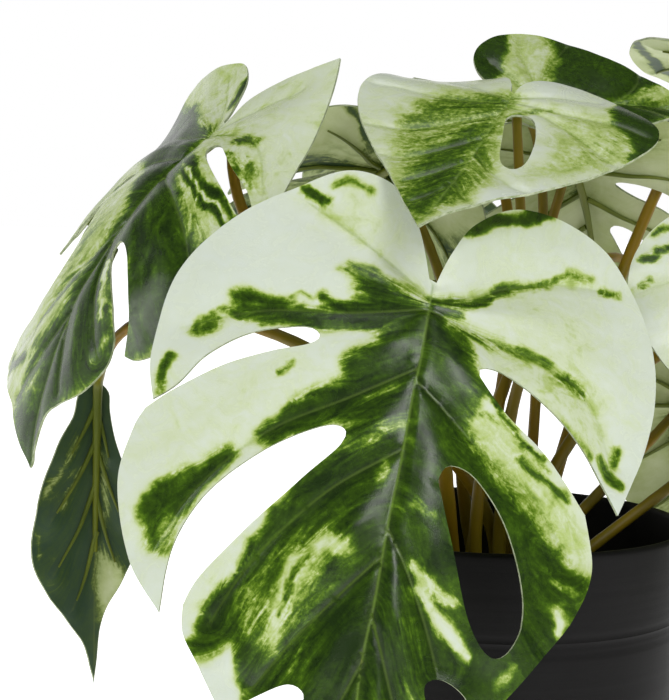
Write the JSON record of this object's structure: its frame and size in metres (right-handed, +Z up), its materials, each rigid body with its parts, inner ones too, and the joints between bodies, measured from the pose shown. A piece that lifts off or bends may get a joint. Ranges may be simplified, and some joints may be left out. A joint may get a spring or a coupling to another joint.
{
  "type": "potted monstera plant",
  "caption": "Potted marble monstera with split and holed leaf blades on thin arching stems, standing in a round matte pot filled with soil.",
  "frame": {"origin": "centre of the pot's flat base", "axes": "+Z up, the front of the plant towards -Y, its left side towards -X"},
  "size_m": [0.3257, 0.2765, 0.2689],
  "materials": {
    "pot": "matte charcoal with fine throwing grooves",
    "soil": "dark potting soil, rough and crumbly",
    "stem": "satin olive brown, moulded",
    "leaf": "satin, marbled cream and dark green, raised veins"
  },
  "bodies": {
    "root": {"pot": "pot", "soil": "soil", "stem-01": "stem", "stem-02": "stem", "stem-03": "stem", "stem-04": "stem", "stem-05": "stem", "stem-06": "stem", "stem-07": "stem", "stem-08": "stem", "stem-09": "stem", "stem-10": "stem", "stem-11": "stem", "stem-12": "stem", "stem-13": "stem", "leaf-01": "leaf", "leaf-02": "leaf", "leaf-03": "leaf", "leaf-04": "leaf", "leaf-05": "leaf", "leaf-06": "leaf", "leaf-07": "leaf", "leaf-08": "leaf", "leaf-09": "leaf", "leaf-10": "leaf", "leaf-11": "leaf", "leaf-12": "leaf", "leaf-13": "leaf"}
  },
  "joints": []
}
